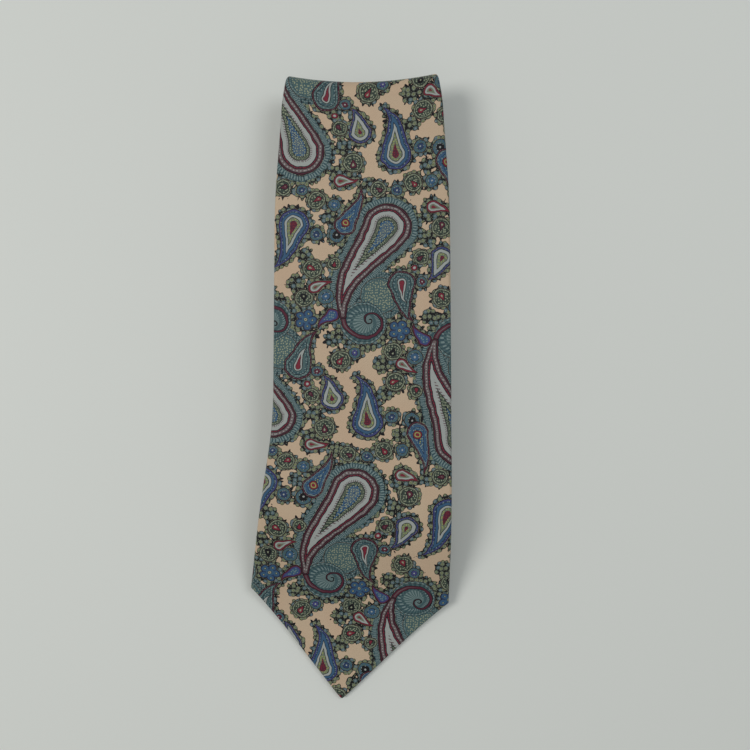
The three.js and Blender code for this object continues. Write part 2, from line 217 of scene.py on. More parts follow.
def half_width(s):
    """Half the tie's width at s, eased through the bends of its outline."""
    reach = min(9.0, abs(s - SHOULDER), abs(s - TAIL_SHOULDER), s, LENGTH - s)
    ease = [interpolate(WIDTHS, s + reach * step) for step in (-1, -0.5, 0, 0.5, 1)]
    width = sum(ease) / 5
    if PINCH_START < s < PINCH_END:
        width -= PINCH * smoothstep(1 - abs(s - PINCH_AT) / PINCH_REACH)
    return width / 2


def back_opening(s):
    """Half the gap between the silk's two back edges."""
    in_blade = s < LENGTH / 2
    from_point = s if in_blade else LENGTH - s
    shoulder = SHOULDER if in_blade else LENGTH - TAIL_SHOULDER
    meet = FLAPS_MEET if in_blade else TAIL_FLAPS_MEET
    widest = (BLADE_WIDTH if in_blade else TAIL_WIDTH) / 2 - HEM
    flap = max(half_width(s) - HALF, 0.05)
    if from_point < shoulder:
        opening = half_width(s) - HEM
    else:
        opening = SEAM_GAP + (widest - SEAM_GAP) * smoothstep((meet - from_point) / (meet - shoulder))
    return min(max(opening, min(SEAM_GAP, flap / 2)), flap)


def middle(s, name=None):
    """The middle line at s: plan distance, height and heading."""
    for part, start, end, along, height, heading, turn, length in STRETCHES:
        if start - 1e-6 <= s <= end + 1e-6 and name in (None, part):
            run = length * (s - start) / (end - start)
            first = math.radians(heading)
            if not turn:
                return along + run * math.cos(first), height + run * math.sin(first), first
            bend = math.radians(turn) / length
            now = first + bend * run
            return (
                along + (math.sin(now) - math.sin(first)) / bend,
                height - (math.cos(now) - math.cos(first)) / bend,
                now,
            )
    raise ValueError(f"no stretch at {s}")


def place(s, across, depth, name=None):
    """A point of the cloth in metres: distance s, across from the middle line, depth towards the front."""
    along, height, heading = middle(s, name)
    turn = 0.0
    side = 0.0
    if s <= LAST_BLADE:
        span = LEAN_END - LEAN_START
        into = min(max(LEAN_END - along, 0.0), span)
        turn = LEAN * into / span
        past = max(0.0, LEAN_START - along)
        side = -(LEAN * into * into) / (2 * span) - past * math.sin(LEAN)
        along += past * (1 - math.cos(LEAN))
    if FOLD_EASE_START < s < FOLD_END:
        share = smoothstep((s - FOLD_EASE_START) / FOLD_EASE_IN) * smoothstep((FOLD_END - s) / FOLD_EASE_OUT)
        along += share * (FOLD_MIDDLE + FOLD_RISE * across + FOLD_SADDLE * across * across)
    sink = -math.sin(heading) * depth
    x = side + across * math.cos(turn) + sink * math.sin(turn)
    y = along - across * math.sin(turn) + sink * math.cos(turn)
    z = height + math.cos(heading) * depth
    return Vector(((x + SIDE_SHIFT) * MM, (y + LONG_SHIFT) * MM, z * MM))


def swell(s, across, flat):
    """How far the silk's front stands up from flat: a soft crown and long shallow waves."""
    if s > SWELL_END:
        return 0.0
    crown = 1 - (abs(across) / flat) ** 3
    fade = smoothstep(s / SWELL_FADE_IN) * smoothstep((SWELL_END - s) / SWELL_FADE_OUT)
    broad = noise.noise(Vector((across / 19, s / 34, 2.7)))
    fine = noise.noise(Vector((across / 9, s / 21, 8.1)))
    wave = broad + 0.5 * fine
    return fade * crown * (CROWN + WAVES * wave)


# ---------------------------------------------------------------- meshes

def rows(name, start, end):
    """Distances for the rings of a piece, closer together where the cloth turns."""
    found = [start]
    for part, low, high, _, _, _, turn, _ in STRETCHES:
        if part != name:
            continue
        low = max(low, start)
        high = min(high, end)
        if high - low < 1e-6:
            continue
        if part in ("point", "front"):
            gap = 2.4 if turn else 2.6
        elif not turn:
            gap = 5.5
        else:
            gap = 0.7 if part == "fold_1" else 0.295
        count = max(1, round((high - low) / gap))
        if turn and part.startswith("fold") and part != "fold_1":
            count += count % 2
        found += [low + (high - low) * step / count for step in range(1, count + 1)]
    extra = [s for s in (SHOULDER, TAIL_SHOULDER) if start < s < end]
    return sorted(set(found + extra))


def silk_profile(s):
    """Points round the silk from one back edge to the other: outer point, inner point, cloth across."""
    flat = max(half_width(s) - HALF, 0.12)
    opening = back_opening(s)
    radius = HALF if half_width(s) > 2 * HALF else max(half_width(s) * 0.55, 0.4)
    inner = radius - SILK * min(1.0, radius / HALF)
    girth = math.pi * radius
    right = []
    for step in range(FLAT_STEPS // 2 + 1):
        across = flat * math.sin(math.pi / 2 * 2 * step / FLAT_STEPS)
        up = swell(s, across, flat)
        right.append(((across, radius + up), (across, inner + up), across))
    for step in range(1, ROLL_STEPS + 1):
        angle = math.pi / 2 - math.pi * step / ROLL_STEPS
        outer_point = (flat + radius * math.cos(angle), radius * math.sin(angle))
        inner_point = (flat + inner * math.cos(angle), inner * math.sin(angle))
        right.append((outer_point, inner_point, flat + girth * step / ROLL_STEPS))
    for step in range(1, FLAP_STEPS + 1):
        across = flat + (opening - flat) * step / FLAP_STEPS
        right.append(((across, -radius), (across, -inner), flat + girth + flat - across))
    left = [((-p[0], p[1]), (-q[0], q[1]), -u) for p, q, u in reversed(right[1:])]
    return left + right


def slab_profile(low, high):
    """A lining's section between two depths, inside the rolled silk."""
    def profile(s):
        half = max(half_width(s) - HALF - 0.3, 0.25)
        points = []
        for step in range(13):
            across = half * (step / 6 - 1)
            lift = swell(s, across, half + 0.3) if high > 0 else 0.0
            points.append(((across, high + lift), (across, low + (lift if low > 0 else 0)), across))
        return points
    return profile


def grids(name, stations, profile, slants=PLAIN):
    """Outer and inner grids of points with cloth coordinates, for a profile swept along the path."""
    outer, inner, cloth = [], [], []
    first, last = stations[0], stations[-1]
    for s in stations:
        share = (s - first) / (last - first)
        slant = slants[0] + (slants[1] - slants[0]) * share
        section = profile(s)
        outer.append([place_slanted(name, s, p, slant) for p, _, _ in section])
        inner.append([place_slanted(name, s, q, slant) for _, q, _ in section])
        cloth.append([(u, s + slant * p[0]) for p, _, u in section])
    return outer, inner, cloth


def place_slanted(name, s, point, slant):
    across, depth = point
    if not slant:
        return place(s, across, depth, name)
    spot = place(s, across, depth, name)
    _, _, heading = middle(s, name)
    spot.y += slant * across * math.cos(heading) * MM
    return spot


def shell(name, outer, inner, cloth, shift=PLAIN):
    """A closed thin mesh between two grids, with its cloth and bake maps."""
    tall = len(outer)
    wide = len(outer[0])
    vertices = [p for row in outer for p in row] + [p for row in inner for p in row]
    offset = tall * wide
    faces, cloth_uv, bake_uv = [], [], []
    u_low = min(u for row in cloth for u, _ in row)
    u_span = max(u for row in cloth for u, _ in row) - u_low
    v_low = min(v for row in cloth for _, v in row)
    v_span = max(v for row in cloth for _, v in row) - v_low

    def cloth_at(i, j):
        u, v = cloth[i][j]
        return ((u + shift[0]) / 100, (interpolate(PRINT_AT, v) + shift[1]) / 100)

    def bake_at(i, j, back):
        u, v = cloth[i][j]
        share_u = (u - u_low) / u_span
        share_v = (v - v_low) / v_span
        x = 0.87 + 0.12 * share_u if back else 0.01 + 0.84 * share_u
        return (x, 0.03 + 0.96 * share_v)

    for i in range(tall - 1):
        for j in range(wide - 1):
            corners = ((i, j), (i, j + 1), (i + 1, j + 1), (i + 1, j))
            faces.append([a * wide + b for a, b in corners])
            cloth_uv += [cloth_at(a, b) for a, b in corners]
            bake_uv += [bake_at(a, b, False) for a, b in corners]
            corners = corners[::-1]
            faces.append([offset + a * wide + b for a, b in corners])
            cloth_uv += [cloth_at(a, b) for a, b in corners]
            bake_uv += [bake_at(a, b, True) for a, b in corners]
    ring = [(0, j) for j in range(wide)]
    ring += [(i, wide - 1) for i in range(1, tall)]
    ring += [(tall - 1, j) for j in range(wide - 2, -1, -1)]
    ring += [(i, 0) for i in range(tall - 2, 0, -1)]
    count = len(ring)
    for step, (a, b) in enumerate(zip(ring, ring[1:] + ring[:1])):
        outer_a = a[0] * wide + a[1]
        outer_b = b[0] * wide + b[1]
        faces.append([outer_b, outer_a, offset + outer_a, offset + outer_b])
        cloth_uv += [cloth_at(*b), cloth_at(*a), cloth_at(*a), cloth_at(*b)]
        left = 0.01 + 0.98 * step / count
        right = 0.01 + 0.98 * (step + 1) / count
        bake_uv += [(right, 0.012), (left, 0.012), (left, 0.004), (right, 0.004)]
    mesh = bpy.data.meshes.new(name)
    mesh.from_pydata(vertices, [], faces)
    for layer_name, values in (("Cloth", cloth_uv), ("OFBake", bake_uv)):
        layer = mesh.uv_layers.new(name=layer_name)
        layer.data.foreach_set("uv", [value for pair in values for value in pair])
    mesh.uv_layers.active = mesh.uv_layers["Cloth"]
    return finish_mesh(name, mesh)


def finish_mesh(name, mesh):
    """Adds a mesh to the scene, its faces turned outwards and shaded smooth but for its creases."""
    mesh.update()
    volume = 0.0
    for face in mesh.polygons:
        corners = [mesh.vertices[i].co for i in face.vertices]
        for second, third in zip(corners[1:], corners[2:]):
            volume += corners[0].dot(second.cross(third))
    if volume < 0:
        mesh.flip_normals()
    mesh.polygons.foreach_set("use_smooth", [True] * len(mesh.polygons))
    mesh.set_sharp_from_angle(angle=math.radians(50))
    piece = bpy.data.objects.new(name, mesh)
    bpy.context.collection.objects.link(piece)
    return piece


def sheet_area(outer, inner):
    """The cloth's own area: halfway between its two faces."""
    total = 0.0
    for grid in (outer, inner):
        for low, high in zip(grid, grid[1:]):
            for a, b, c, d in zip(low, low[1:], high[1:], high):
                total += (b - a).cross(d - a).length / 2 + (b - c).cross(d - c).length / 2
    return total / 2


def tube_mesh(name, paths, radius, sides=8):
    """Round threads along several open paths, as one mesh with closed ends."""
    vertices, faces = [], []
    for path in paths:
        base = len(vertices)
        for step, spot in enumerate(path):
            ahead = path[min(step + 1, len(path) - 1)] - path[max(step - 1, 0)]
            ahead.normalize()
            side = ahead.cross(Vector((0, 0, 1)))
            if side.length < 0.05:
                side = ahead.cross(Vector((0, 1, 0)))
            side.normalize()
            up = side.cross(ahead)
            taper = 0.55 if step in (0, len(path) - 1) else 1.0
            for corner in range(sides):
                angle = 2 * math.pi * corner / sides
                reach = side * math.cos(angle) + up * math.sin(angle)
                vertices.append(spot + reach * radius * taper)
        for step in range(len(path) - 1):
            for corner in range(sides):
                a = base + step * sides + corner
                b = base + step * sides + (corner + 1) % sides
                faces.append([a, b, b + sides, a + sides])
        faces.append([base + corner for corner in reversed(range(sides))])
        last = base + (len(path) - 1) * sides
        faces.append([last + corner for corner in range(sides)])
    mesh = bpy.data.meshes.new(name)
    mesh.from_pydata(vertices, [], faces)
    return finish_mesh(name, mesh)


# ---------------------------------------------------------------- riding on the frame

def follow(piece, name):
    """Parents a piece of a layer stretch to the body it rides on; a piece of the point, the front or a fold
    keeps its place, baked into its mesh.
    """
    if name in RIDES:
        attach(piece, RIDES[name])
        return
    if name == "point":
        start, end = place(55.85, 0, 0), place(28.15, 0, 0)
    elif name == "front":
        start, end = place(100.1, 0, 0), place(72.4, 0, 0)
    else:
        low, high = FOLD_ZONES[name]
        y = (middle(limits(name)[0], name)[0] + LONG_SHIFT) * MM
        start, end = Vector((0, y, low * MM)), Vector((0, y, high * MM))
    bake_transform(piece)


def swept(name, stretch, start, end, profile, slot, nodes, slants=PLAIN, shift=PLAIN):
    """One piece of cloth along the path, with its material; it hides the CAD nodes it stands for and rides on
    its body where its stretch has one.
    """
    first, last = limits(stretch)
    start = first if start is None else start
    end = last if end is None else end
    stations = rows(stretch, start, end)
    outer, inner, cloth = grids(stretch, stations, profile, slants)
    piece = shell(name, outer, inner, cloth, shift)
    piece.data.materials.append(finish(slot))
    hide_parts(*nodes)
    follow(piece, stretch)
    across = [u for row in cloth for u, _ in row]
    width = (max(across) - min(across)) * MM
    along = [v for row in cloth for _, v in row]
    length = (max(along) - min(along)) * MM
    area = min(sheet_area(outer, inner), width * length)
    return piece


# ---------------------------------------------------------------- shader maths

SCALAR_RESULTS = ("DISTANCE", "DOT_PRODUCT", "LENGTH")


class Wire:
    """A socket in a material. Arithmetic on wires adds Math nodes."""

    def __init__(self, shader, socket):
        self.shader = shader
        self.socket = socket

    def other(self, name):
        """Another output of the same node."""
        return Wire(self.shader, self.socket.node.outputs[name])

    def math(self, operation, *terms, clamp=False):
        settings = {"operation": operation, "use_clamp": clamp}
        return self.shader.add("ShaderNodeMath", settings, (self, *terms))

    def flipped(self, operation, first):
        return self.shader.add("ShaderNodeMath", {"operation": operation}, (first, self))

    def vector(self, operation, *terms, scale=None):
        values = dict(enumerate((self, *terms)))
        if scale is not None:
            values["Scale"] = scale
        output = 1 if operation in SCALAR_RESULTS else 0
        return self.shader.add("ShaderNodeVectorMath", {"operation": operation}, values, output)

    def times_plus(self, factor, extra):
        return self.math("MULTIPLY_ADD", factor, extra)

    def __add__(self, other):
        return self.math("ADD", other)

    __radd__ = __add__

    def __sub__(self, other):
        return self.math("SUBTRACT", other)

    def __rsub__(self, other):
        return self.flipped("SUBTRACT", other)

    def __mul__(self, other):
        return self.math("MULTIPLY", other)

    __rmul__ = __mul__

    def __truediv__(self, other):
        return self.math("DIVIDE", other)

    def __rtruediv__(self, other):
        return self.flipped("DIVIDE", other)

    def __abs__(self):
        return self.math("ABSOLUTE")

    def __gt__(self, other):
        return self.math("GREATER_THAN", other)

    def __lt__(self, other):
        return self.math("LESS_THAN", other)


class Shader:
    """A material under construction, around one Principled surface."""

    def __init__(self, name, **constants):
        self.material = bpy.data.materials.new(name)
        self.material.use_nodes = True
        self.tree = self.material.node_tree
        self.surface = self.tree.nodes["Principled BSDF"]
        for socket, value in constants.items():
            self.surface.inputs[socket.replace("_", " ")].default_value = value

    def add(self, kind, settings=None, values=(), output=0):
        """A node of this kind with its settings and the values or wires of its sockets."""
        node = self.tree.nodes.new(kind)
        for key, value in (settings or {}).items():
            if key == "stops":
                self.set_stops(node.color_ramp, value)
            else:
                setattr(node, key, value)
        pairs = values.items() if isinstance(values, dict) else enumerate(values)
        for key, value in pairs:
            self.put(node.inputs[key], value)
        return Wire(self, node.outputs[output])

    def set_stops(self, ramp, stops):
        ramp.interpolation = stops[0]
        for position, colour in stops[1:]:
            stop = ramp.elements[0] if position == 0 else ramp.elements.new(position)
            stop.color = colour
        ramp.elements.remove(ramp.elements[len(ramp.elements) - 1])

    def put(self, socket, value):
        if isinstance(value, Wire):
            self.tree.links.new(value.socket, socket)
        else:
            socket.default_value = value

    def mix(self, share, first, second):
        """The second colour over the first."""
        return self.add("ShaderNodeMix", {"data_type": "RGBA"}, {0: share, 6: first, 7: second}, output=2)

    def ramp(self, place, *stops, kind="LINEAR"):
        return self.add("ShaderNodeValToRGB", {"stops": (kind, *stops)}, (place,))

    def noise(self, vector, scale, detail=2.0, output=0):
        values = {"Vector": vector, "Scale": scale, "Detail": detail}
        return self.add("ShaderNodeTexNoise", {"noise_dimensions": "2D"}, values, output)

    def cells(self, vector, scale, randomness=1.0, feature="F1"):
        settings = {"voronoi_dimensions": "2D", "feature": feature}
        values = {"Vector": vector, "Scale": scale, "Randomness": randomness}
        return self.add("ShaderNodeTexVoronoi", settings, values)

    def scaled(self, direction, share):
        """A fixed direction, scaled by a wire."""
        settings = {"operation": "SCALE"}
        return self.add("ShaderNodeVectorMath", settings, {0: tuple(direction), "Scale": share})

    def feed(self, socket, wire):
        self.put(self.surface.inputs[socket], wire)

    def bump(self, height, distance, strength=1.0):
        values = {"Strength": strength, "Distance": distance, "Height": height}
        self.feed("Normal", self.add("ShaderNodeBump", None, values))


def dye(red, green, blue):
    """A linear colour from the 0 to 255 values of a colour chart."""
    def linear(value):
        value /= 255
        return value / 12.92 if value <= 0.04045 else ((value + 0.055) / 1.055) ** 2.4
    return (linear(red), linear(green), linear(blue), 1.0)


CREAM = dye(222, 200, 171)
WARM_CREAM = dye(220, 188, 160)
INK = dye(28, 27, 32)
TAUPE = dye(122, 106, 108)
PALE = dye(180, 185, 182)
MAROON = dye(96, 42, 60)
RED = dye(134, 46, 62)
BLUE = dye(66, 102, 136)
DEEP_BLUE = dye(52, 72, 108)
PURPLE = dye(74, 76, 132)
TEAL = dye(86, 112, 114)
DEEP_TEAL = dye(62, 90, 98)
PALE_TEAL = dye(134, 154, 154)
SAGE = dye(124, 134, 114)
PALE_SAGE = dye(166, 172, 146)
DEEP_GREEN = dye(66, 78, 70)
LIME = dye(168, 176, 108)
CLEAR = (0, 0, 0, 0)

# The print's repeat, in millimetres. Every other column is a mirror image, slid along the cloth.
REPEAT = 79.5
RISE = 119.2
HALF_REPEAT = REPEAT / 2
GLIDE = -5.2
LENGTHWISE = 1.064
TILT = math.radians(5.64)
ORIGIN = (-8.9, 63.6)
COLUMNS = (1.0, -18.9)
BANDS = (20.0, -39.6)
# Depths in from a motif's outline are held as shares of this.
SPAN = 12.0
# Makes the greatest of x * x * (1 - x) one.
BULGE = 6.75


class SilkPrint:
    """The paisley print: motifs drawn as distances in a folded repeat of the cloth."""

    def __init__(self, shader):
        self.shader = shader
        cloth = shader.add("ShaderNodeUVMap", {"uv_map": "Cloth"}).vector("SCALE", scale=100.0)
        wander = shader.noise(cloth, 0.28, detail=1.0, output=1)
        wander = wander.vector("MULTIPLY_ADD", (0.9, 0.9, 0.0), (-0.45, -0.45, 0.0))
        self.cloth = cloth
        spot = cloth.vector("ADD", wander).vector("MULTIPLY", (1.0, LENGTHWISE, 1.0))
        turned = shader.add(
            "ShaderNodeVectorRotate",
            {"rotation_type": "Z_AXIS"},
            {"Vector": spot, "Center": (*ORIGIN, 0), "Angle": TILT},
        ).vector("SUBTRACT", (*ORIGIN, 0))
        parts = shader.add("ShaderNodeSeparateXYZ", None, (turned,))
        self.a = parts
        self.b = parts.other("Y")
        self.windows = {}
        self.folded = {}
        self.halo = None
        self.cover = None
        self.colour = CREAM

    def window(self, column, band):
        """The repeat folded round a middle column and band, as a vector."""
        if (column, band) not in self.windows:
            if column not in self.folded:
                turn = self.a.times_plus(1 / HALF_REPEAT, 0.5 - column / HALF_REPEAT).math("FLOOR")
                across = turn.times_plus(-HALF_REPEAT, self.a)
                mirrored = turn.math("PINGPONG", 1.0)
                along = self.b.times_plus(-2.0, GLIDE).math("MULTIPLY_ADD", mirrored, self.b)
                self.folded[column] = (across, along)
            across, along = self.folded[column]
            wrapped = along.math("WRAP", band + RISE / 2, band - RISE / 2)
            self.windows[column, band] = self.shader.add("ShaderNodeCombineXYZ", None, (across, wrapped, 0.0))
        return self.windows[column, band]

    def settle(self, *spots):
        """The window that holds a motif whole, and where the motif's points stand in it."""
        a, b = spots[0]
        turns, column = min(
            ((round((a - column) / HALF_REPEAT), column) for column in COLUMNS),
            key=lambda choice: abs(a - choice[1] - choice[0] * HALF_REPEAT),
        )
        moved = [(p - turns * HALF_REPEAT, GLIDE - q if turns % 2 else q) for p, q in spots]
        steps, band = min(
            ((round((moved[0][1] - band) / RISE), band) for band in BANDS),
            key=lambda choice: abs(moved[0][1] - choice[1] - choice[0] * RISE),
        )
        return self.window(column, band), [(p, q - steps * RISE, 0.0) for p, q in moved], turns % 2

    def spread(self, depth, halo):
        """Widens the floret ground round a motif."""
        if halo is None:
            return depth
        wide = depth + halo / SPAN
        self.halo = wide if self.halo is None else self.halo.math("MAXIMUM", wide)
        return depth

    def disc(self, a, b, radius, halo=1.6):
        window, (centre,), _ = self.settle((a, b))
        depth = window.vector("DISTANCE", centre).times_plus(-1 / SPAN, radius / SPAN)
        return self.spread(depth, halo)

    def drop(self, head, radius, tip, tip_radius=0.3, bow=0.0, halo=1.6):
        """A teardrop from head to tip, its middle line bowed to one side. Returns depth and run."""
        half_way = ((head[0] + tip[0]) / 2, (head[1] + tip[1]) / 2)
        window, (_, start, end), mirrored = self.settle(half_way, head, tip)
        start, end = Vector(start), Vector(end)
        run = end - start
        offset = window.vector("SUBTRACT", tuple(start))
        share = offset.vector("DOT_PRODUCT", tuple(run / run.length_squared)).math("ADD", 0.0, clamp=True)
        spine = self.shader.scaled(run, share)
        if bow:
            side = Vector((run.y, -run.x, 0)).normalized() * (-BULGE * bow if mirrored else BULGE * bow)
            bulge = (1 - share) * share * share
            spine = spine.vector("ADD", self.shader.scaled(side, bulge))
        width = share.times_plus((tip_radius - radius) / SPAN, radius / SPAN)
        depth = offset.vector("DISTANCE", spine).times_plus(-1 / SPAN, width)
        return self.spread(depth, halo), offset, share, run

    def curl(self, a, b, reach, tighten, thickness):
        """A spiral of two turns round a centre, starting above its left and closing in anticlockwise."""
        window, (centre,), mirrored = self.settle((a, b))
        offset = window.vector("SUBTRACT", centre)
        away = offset.vector("LENGTH")
        turned = offset.vector("MULTIPLY", (-1.0, 1.0 if mirrored else -1.0, 1.0))
        parts = self.shader.add("ShaderNodeSeparateXYZ", None, (turned,))
        angle = (parts.other("Y").math("ARCTAN2", parts) + 0.6).math("WRAP", math.tau, 0.0)
        best = None
        for turn in range(2):
            now = angle + math.tau * turn
            closing = (now * -tighten).math("EXPONENT")
            thin = closing.times_plus(thickness / 2, 0.25)
            depth = (thin - abs(away - closing * reach)) / SPAN
            best = depth if best is None else best.math("MAXIMUM", depth)
        return best, angle

    def lay(self, depth, bands, flecks=None, mask=None):
        """Prints a motif over the ones so far. Bands start at their depths in from the outline.

        Flecks are other colours at some of the depths, where the mask is 1.
        """
        flat = self.shader.ramp(depth, *stops(bands), kind="CONSTANT")
        shade = flat
        if flecks:
            second = sorted({**dict(bands), **flecks}.items(), key=lambda band: band[0])
            shade = self.shader.mix(mask, flat, self.shader.ramp(depth, *stops(second), kind="CONSTANT"))
        self.colour = self.shader.mix(flat.other("Alpha"), self.colour, shade)
        self.cover = depth if self.cover is None else self.cover.math("MAXIMUM", depth)


def stops(bands):
    """Colour ramp stops for bands of colour, with nothing outside the outline."""
    return [(0, CLEAR)] + [(0.001 + start / SPAN, shade) for start, shade in bands]


# Rounds: across and along the repeat, radius, colour and tilt of the bud inside
ROUNDS = (
    (-13.5, -50.0, 4.4, MAROON, 100),
    (13.8, -26.0, 4.3, RED, 20),
    (12.5, -56.5, 4.0, RED, 140),
    (11.5, -12.6, 4.1, INK, 80),
    (-10.0, -18.5, 4.4, RED, 60),
    (19.2, 30.5, 3.4, MAROON, 40),
    (-17.0, 24.0, 3.0, RED, 90),
    (-2.0, -60.5, 3.6, MAROON, 160),
)

# Open flowers: across, along, radius and eye
BLOOMS = (
    (22.5, -42.0, 3.5, INK),
    (-4.5, -14.9, 2.8, PURPLE),
    (14.0, -41.5, 3.0, DEEP_BLUE),
    (-19.0, 9.0, 3.6, BLUE),
    (20.4, 19.5, 2.6, MAROON),
    (-19.5, 50.0, 2.9, BLUE),
    (6.0, 59.0, 2.6, DEEP_BLUE),
)

# Sprays of florets with no flower of their own: across, along and radius
SPRAYS = (
    (-18.5, -44.0, 2.8), (7.5, -19.0, 3.2), (20.5, -3.5, 2.8), (20.8, 50.0, 3.2), (-14.5, 15.5, 2.8),
    (9.8, -31.8, 2.6), (-14.5, -9.5, 2.8), (18.0, -49.0, 2.4), (-6.0, 60.0, 2.6), (20.6, 39.5, 2.4),
)

# Leaves and drops: head, radius, tip, tip radius, bow, bands and flecks
RED_DROP = ((0, INK), (0.35, RED), (0.85, INK), (1.0, PALE), (1.7, SAGE), (2.3, RED))
DROPS = (
    ((-18.0, -58.5), 3.0, (-10.8, -57.0), 0.4, 0.6, RED_DROP, None),
    ((15.6, -17.8), 2.8, (22.4, -21.0), 0.4, 0.5, RED_DROP, None),
    (
        (-15.6, 1.0), 3.2, (-21.0, -5.5), 0.4, 1.0,
        ((0, INK), (0.35, MAROON), (0.85, PURPLE), (1.5, BLUE)),
        {1.5: PALE_TEAL},
    ),
    (
        (-12.0, -36.4), 5.2, (-16.6, -26.0), 0.4, 1.0,
        (
            (0, INK), (0.4, PURPLE), (0.9, DEEP_BLUE), (1.3, INK), (1.5, PALE), (2.8, INK), (3.0, SAGE),
            (4.3, MAROON),
        ),
        {0.4: TAUPE, 0.9: TEAL, 3.0: LIME, 4.3: RED},
    ),
    (
        (4.0, -45.0), 6.8, (-3.0, -25.0), 0.5, 2.6,
        (
            (0, INK), (0.4, PURPLE), (0.9, DEEP_BLUE), (1.4, INK), (1.6, BLUE), (2.7, INK), (2.9, PALE),
            (3.8, INK), (4.1, SAGE), (5.2, MAROON),
        ),
        {0.9: PALE_TEAL, 4.1: LIME, 5.2: RED},
    ),
)
CROOK = ((0, INK), (0.3, TEAL), (1.1, DEEP_TEAL), (1.4, TEAL))
BROAD_LEAF = (
    (0, INK), (0.4, MAROON), (0.8, INK), (1.1, TEAL), (2.0, INK), (2.2, DEEP_TEAL), (3.2, TEAL), (4.6, BLUE),
)
BLUE_LEAF = (
    (0, INK), (0.35, MAROON), (0.75, INK), (1.0, PALE_TEAL), (1.3, DEEP_BLUE), (1.6, BLUE), (2.3, INK),
    (2.5, BLUE), (3.3, DEEP_BLUE),
)
PAISLEY = (
    (0, INK), (0.45, MAROON), (0.75, INK), (1.1, TAUPE), (2.4, INK), (2.75, MAROON), (3.3, INK), (3.6, PALE),
    (5.9, INK), (6.2, DEEP_GREEN), (7.4, INK), (7.7, BLUE), (8.6, DEEP_BLUE), (10.2, BLUE),
)
PAISLEY_BEADS = {
    1.5: PALE, 1.95: TAUPE, 2.75: RED, 5.1: TAUPE, 6.2: SAGE, 8.6: PALE_TEAL, 10.2: DEEP_BLUE,
}


def lay_small_flowers(art, dot):
    """Rounds with a bud, open flowers and bare sprays."""
    for a, b, radius, eye, tilt in ROUNDS:
        bands = ((0, INK), (0.4, SAGE), (0.95, INK), (1.25, DEEP_GREEN))
        art.lay(art.disc(a, b, radius, halo=0.9), bands, {0.4: PALE_SAGE, 1.25: PALE_SAGE}, dot)
        reach = radius * 0.42
        lean = (math.cos(math.radians(tilt)) * reach, math.sin(math.radians(tilt)) * reach)
        foot = (a - lean[0] * 0.6, b - lean[1] * 0.6)
        bud = art.drop(foot, radius * 0.36, (a + lean[0], b + lean[1]), 0.2, halo=None)[0]
        art.lay(bud, ((0, INK), (0.35, eye), (1.1, PALE_SAGE)))
    for a, b, radius, eye in BLOOMS:
        inner, outer = radius * 0.45, radius * 0.52
        bands = ((0, INK), (0.35, TEAL), (inner, INK), (outer, eye), (radius * 0.86, PALE))
        art.lay(art.disc(a, b, radius, halo=1.1), bands, {0.35: BLUE, inner: PALE}, dot)
    for a, b, radius in SPRAYS:
        art.disc(a, b, radius, halo=0.8)


def lay_leaves(art, dot):
    """Drops, leaves and the five-petalled flower. Returns the filling in the big paisley's crook."""
    art.lay(art.disc(16.6, 25.4, 1.5), ((0, INK), (0.3, RED), (0.9, PALE)))
    for head, radius, tip, tip_radius, bow, bands, flecks in DROPS:
        art.lay(art.drop(head, radius, tip, tip_radius, bow=bow)[0], bands, flecks, dot)
    crook = art.disc(3.4, 11.6, 8.2, halo=1.4)
    art.lay(crook, CROOK, {0.3: PALE_TEAL, 1.4: PALE_SAGE}, dot)
    leaf = art.drop((12.2, 17.6), 6.3, (18.6, 1.6), 0.4, bow=2.0)[0]
    art.lay(leaf, BROAD_LEAF, {0.4: TAUPE, 1.1: PALE_TEAL, 2.2: PALE_TEAL, 4.6: PALE}, dot)
    bud = art.drop((12.0, 18.2), 2.1, (15.0, 9.4), 0.3, bow=1.0, halo=None)[0]
    art.lay(bud, ((0, INK), (0.3, PALE), (0.9, INK), (1.1, RED)))
    across, along, ring = 13.2, -3.0, 2.9
    flower = art.disc(across, along, 2.4)
    for petal in range(5):
        angle = math.tau * petal / 5
        disc = art.disc(across + ring * math.cos(angle), along + ring * math.sin(angle), 2.1)
        flower = flower.math("MAXIMUM", disc)
    art.lay(flower, ((0, INK), (0.3, DEEP_BLUE), (0.7, BLUE), (1.5, INK), (1.7, PALE_SAGE), (2.1, RED)))
    leaf = art.drop((-14.2, 41.6), 4.8, (-9.0, 58.5), 0.4, bow=1.5)[0]
    flecks = {0.35: TAUPE, 1.0: BLUE, 1.3: PALE_TEAL, 2.3: DEEP_BLUE, 2.5: PALE_TEAL, 3.3: LIME}
    art.lay(leaf, BLUE_LEAF, flecks, dot)
    eye = art.disc(-14.0, 42.4, 2.0, halo=None)
    art.lay(eye, ((0, INK), (0.25, RED), (0.8, LIME), (1.25, RED)))
    return crook


